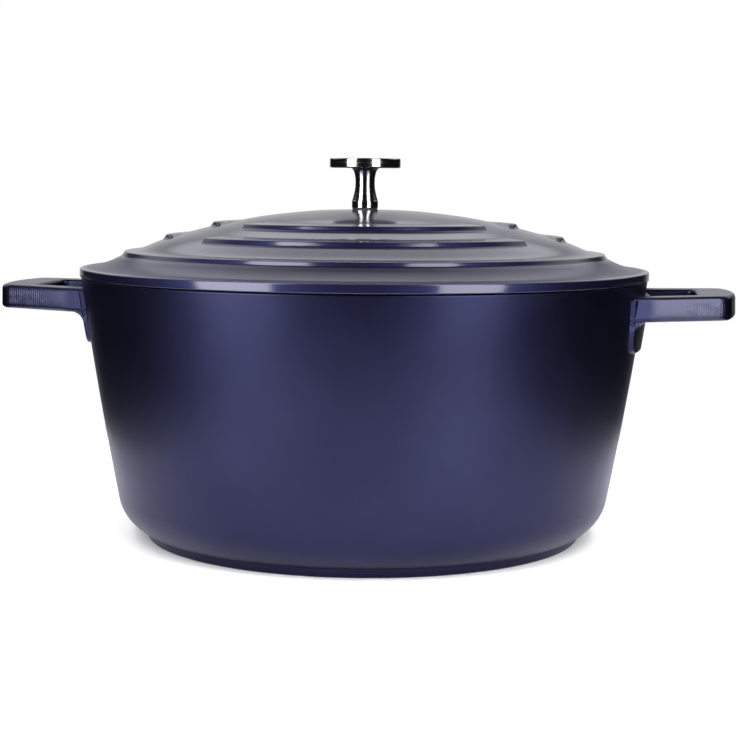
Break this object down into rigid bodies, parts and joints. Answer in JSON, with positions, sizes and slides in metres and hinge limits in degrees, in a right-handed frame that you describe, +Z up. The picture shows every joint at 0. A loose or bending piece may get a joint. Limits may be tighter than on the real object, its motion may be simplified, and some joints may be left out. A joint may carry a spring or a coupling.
{
  "type": "dutch oven",
  "caption": "Round cast iron dutch oven with flared wall, side loop handles, stepped domed lid and turned metal knob.",
  "frame": {"origin": "centre of the foot ring, on the plane the pot stands on", "axes": "+Z up, +X along the line through the two loop handles, +Y towards the back, front is -Y"},
  "size_m": [0.3912, 0.302, 0.2017],
  "materials": {
    "coated_iron_pot": "satin",
    "coated_iron_lid": "satin",
    "enamel": "gloss",
    "turned_steel": "satin",
    "fastener_steel": "satin",
    "gasket": "matte"
  },
  "bodies": {
    "pot": {"pot_body": "coated_iron_pot", "pot_enamel_lining": "enamel"},
    "knob_seat": {"knob_gasket": "gasket"},
    "lid": {"lid_casting": "coated_iron_lid", "lid_enamel_lining": "enamel", "lid_knob": "turned_steel", "knob_flat_washer": "fastener_steel", "knob_lock_washer": "fastener_steel", "knob_screw": "fastener_steel"}
  },
  "joints": [
    {"name": "lid_lift", "type": "slide", "parent": "pot", "child": "knob_seat", "axis": [0, 0, 1], "range_m": [0, 0.14]},
    {"name": "lid_turn", "type": "hinge", "parent": "knob_seat", "child": "lid", "pos_m": [0, 0, 0.1395], "axis": [0, 0, 1], "continuous": true}
  ]
}
